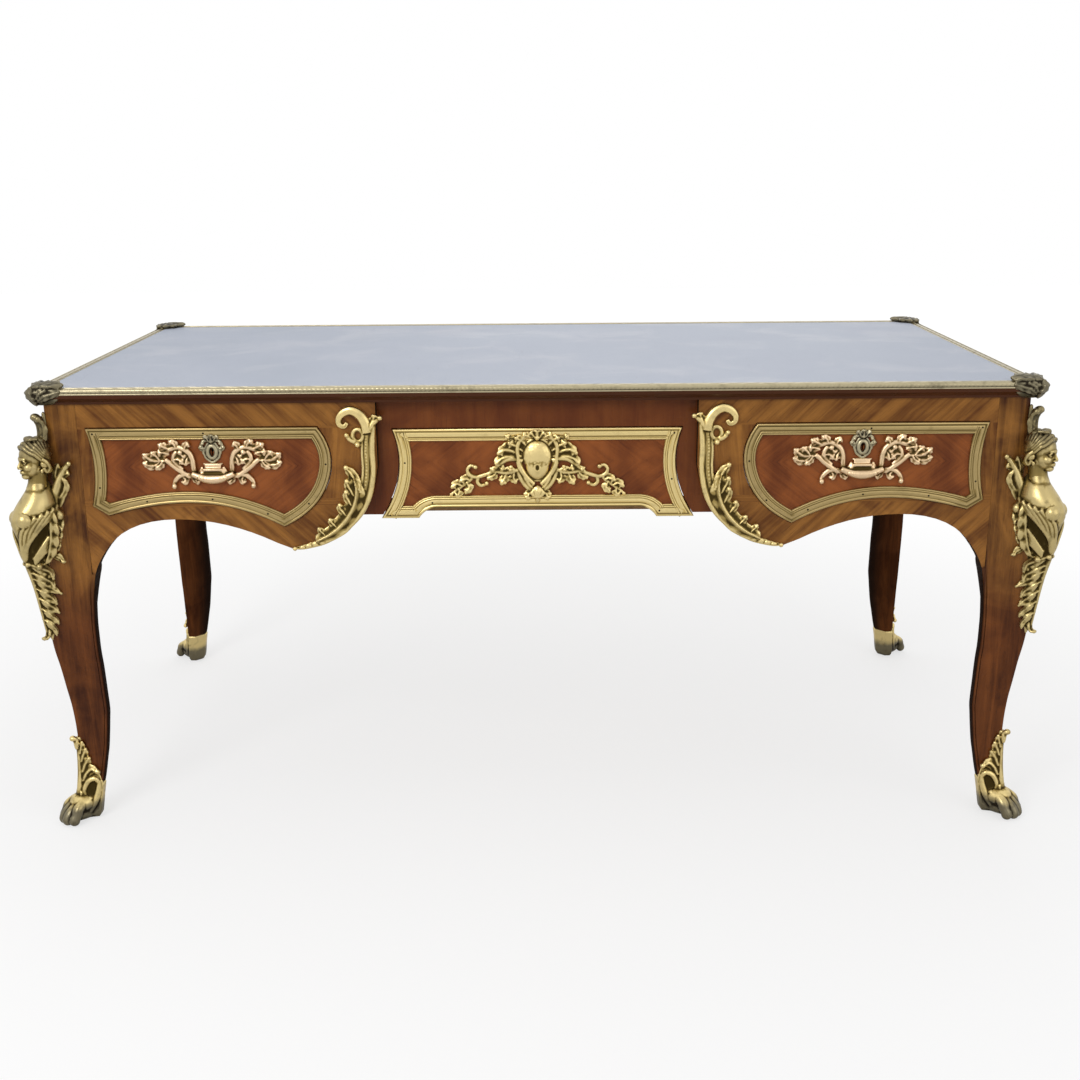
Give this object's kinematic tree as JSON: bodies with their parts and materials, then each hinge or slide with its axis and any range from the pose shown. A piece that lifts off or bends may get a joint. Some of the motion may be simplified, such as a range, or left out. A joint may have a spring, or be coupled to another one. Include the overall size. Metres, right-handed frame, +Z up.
{
  "type": "writing table",
  "caption": "Rectangular leather-topped writing table with cabriole legs, shaped frieze drawers that slide and lock, corner bust mounts, scroll mounts and paw feet in gilt bronze.",
  "frame": {"origin": "on the floor under the middle of the table top", "axes": "+X along the length to the right of someone who sits at the drawers, +Y towards the side without working drawers, +Z up"},
  "size_m": [1.8296, 0.9596, 0.805],
  "materials": {
    "veneer": "french polished, golden brown crossbanded veneer",
    "figured_veneer": "french polished, red brown figured veneer",
    "leg_wood": "french polished, red brown",
    "dark_moulding": "polished, nearly black brown",
    "oak": "bare carcase wood, waxed",
    "gilt_bronze": "chased and gilded, satin with bright edges",
    "old_bronze": "dark, worn gilding",
    "lock_brass": "plain brushed",
    "steel": "plain",
    "leather": "smooth blue grey, lightly worn"
  },
  "bodies": {
    "root": {"top_panel": "dark_moulding", "top_leather": "leather", "top_rim": "old_bronze", "corner_clasps": "old_bronze", "leg_front_left": "leg_wood", "leg_front_right": "leg_wood", "leg_back_left": "leg_wood", "leg_back_right": "leg_wood", "espagnolette_front_left": "gilt_bronze", "espagnolette_front_right": "gilt_bronze", "espagnolette_back_left": "gilt_bronze", "espagnolette_back_right": "gilt_bronze", "sabot_front_left": "gilt_bronze", "sabot_front_right": "gilt_bronze", "sabot_back_left": "gilt_bronze", "sabot_back_right": "gilt_bronze", "front_apron_left": "veneer", "front_apron_right": "veneer", "front_centre_panel": "veneer", "back_apron_left": "veneer", "back_apron_right": "veneer", "back_centre_panel": "veneer", "end_apron_left": "veneer", "end_apron_right": "veneer", "partition_left": "oak", "partition_right": "oak", "drawer_rails": "oak", "drawer_runners": "oak", "glue_blocks": "oak", "top_screws": "steel", "scroll_front_left": "gilt_bronze", "scroll_front_right": "gilt_bronze", "scroll_back_left": "gilt_bronze", "scroll_back_right": "gilt_bronze", "back_frames": "gilt_bronze", "back_mounts": "gilt_bronze", "end_frames": "gilt_bronze"},
    "left_drawer": {"left_drawer_front": "figured_veneer", "left_drawer_box": "oak", "left_drawer_bottom": "oak", "left_drawer_frame": "gilt_bronze", "left_drawer_pull": "gilt_bronze", "left_drawer_escutcheon": "old_bronze", "left_drawer_lock": "lock_brass"},
    "left_bolt": {"left_drawer_bolt": "lock_brass"},
    "right_drawer": {"right_drawer_front": "figured_veneer", "right_drawer_box": "oak", "right_drawer_bottom": "oak", "right_drawer_frame": "gilt_bronze", "right_drawer_pull": "gilt_bronze", "right_drawer_escutcheon": "old_bronze", "right_drawer_lock": "lock_brass"},
    "right_bolt": {"right_drawer_bolt": "lock_brass"},
    "centre_drawer": {"centre_drawer_front": "figured_veneer", "centre_drawer_box": "oak", "centre_drawer_bottom": "oak", "centre_drawer_frame": "gilt_bronze", "centre_drawer_cartouche": "gilt_bronze", "centre_drawer_lock": "lock_brass"},
    "centre_bolt": {"centre_drawer_bolt": "lock_brass"}
  },
  "joints": [
    {"name": "left_drawer_slide", "type": "slide", "parent": "root", "child": "left_drawer", "axis": [0, -1, 0], "range_m": [0, 0.36]},
    {"name": "right_drawer_slide", "type": "slide", "parent": "root", "child": "right_drawer", "axis": [0, -1, 0], "range_m": [0, 0.36]},
    {"name": "centre_drawer_slide", "type": "slide", "parent": "root", "child": "centre_drawer", "axis": [0, -1, 0], "range_m": [0, 0.36]},
    {"name": "left_bolt_throw", "type": "slide", "parent": "left_drawer", "child": "left_bolt", "axis": [0, 0, 1], "range_m": [0, 0.008]},
    {"name": "right_bolt_throw", "type": "slide", "parent": "right_drawer", "child": "right_bolt", "axis": [0, 0, 1], "range_m": [0, 0.008]},
    {"name": "centre_bolt_throw", "type": "slide", "parent": "centre_drawer", "child": "centre_bolt", "axis": [0, 0, 1], "range_m": [0, 0.008]}
  ]
}
